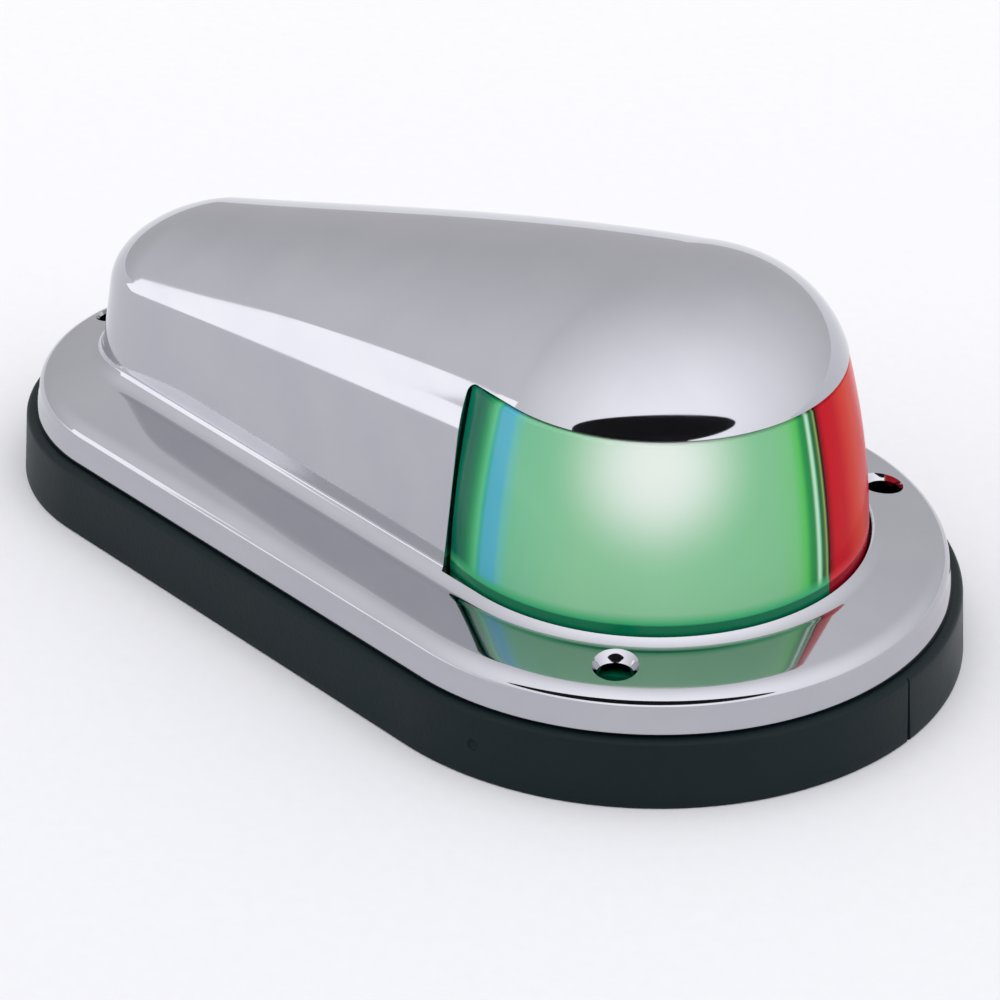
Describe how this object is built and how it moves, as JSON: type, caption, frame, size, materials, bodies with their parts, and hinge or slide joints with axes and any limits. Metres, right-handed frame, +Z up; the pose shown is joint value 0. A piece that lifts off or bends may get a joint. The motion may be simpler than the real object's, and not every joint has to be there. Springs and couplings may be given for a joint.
{
  "type": "bicolour bow navigation light",
  "caption": "Teardrop chrome deck light for a boat's bow, with green and red lenses round one bayonet bulb, on a rubber pad.",
  "frame": {"origin": "centre of the pad's underside: middle of its length and width", "axes": "+X towards the bow, where the lenses are; +Y to port, the red side; +Z up from the deck"},
  "size_m": [0.1376, 0.08, 0.0524],
  "materials": {
    "chrome": "polished plating on a zinc die casting",
    "rubber": "satin moulded",
    "green_lens": "clear green, polished",
    "red_lens": "clear red, polished",
    "black_plastic": "moulded",
    "foam": "closed-cell foam",
    "zinc_steel": "zinc plated",
    "brass": "drawn and turned",
    "phenolic": "pressed laminate",
    "glass": "blown, clear",
    "tungsten": "drawn wire",
    "solder": "tinned",
    "lead_red": "insulated wire",
    "lead_black": "insulated wire"
  },
  "bodies": {
    "base": {"mounting_pad": "rubber", "base_plate": "zinc_steel", "plate_screw_1": "zinc_steel", "plate_nut_1": "zinc_steel", "plate_screw_2": "zinc_steel", "plate_nut_2": "zinc_steel", "wire_grommet": "rubber", "socket_bracket": "zinc_steel", "bracket_rivet_1": "zinc_steel", "bracket_rivet_2": "zinc_steel", "socket_shell": "brass", "socket_insulator": "phenolic", "contact_eyelet": "brass", "contact_spring": "zinc_steel", "terminal_stud_1": "brass", "terminal_bush_1": "phenolic", "terminal_tag_1": "solder", "terminal_nut_1": "brass", "terminal_stud_2": "brass", "terminal_bush_2": "phenolic", "terminal_tag_2": "solder", "terminal_nut_2": "brass", "lead_black": "lead_black", "lead_red": "lead_red"},
    "cover": {"cover": "chrome", "lens_green": "green_lens", "lens_red": "red_lens", "lens_gasket": "foam", "lens_retainer": "black_plastic", "retainer_screw_1": "zinc_steel", "retainer_screw_2": "zinc_steel", "retainer_screw_3": "zinc_steel", "sector_screen": "black_plastic"},
    "contact": {"contact_disc": "phenolic", "contact_stem": "brass", "stem_clip": "zinc_steel"},
    "bulb": {"bulb_cap": "brass", "bulb_base_insulator": "phenolic", "bulb_contact": "solder", "bulb_glass": "glass", "filament_mount": "glass", "filament_post_1": "tungsten", "filament_post_2": "tungsten", "filament": "tungsten"}
  },
  "joints": [
    {"name": "cover_lift", "type": "slide", "parent": "base", "child": "cover", "axis": [0, 0, 1], "range_m": [0, 0.06]},
    {"name": "contact_push", "type": "slide", "parent": "base", "child": "contact", "axis": [-1, 0, 0], "range_m": [0, 0.002], "stiffness_N_per_m": 2000, "springref_m": -0.003, "deforming": ["contact_spring"]},
    {"name": "bulb_turn", "type": "hinge", "parent": "contact", "child": "bulb", "pos_m": [0, 0, 0.0279], "axis": [1, 0, 0], "range_deg": [0, 20]}
  ]
}
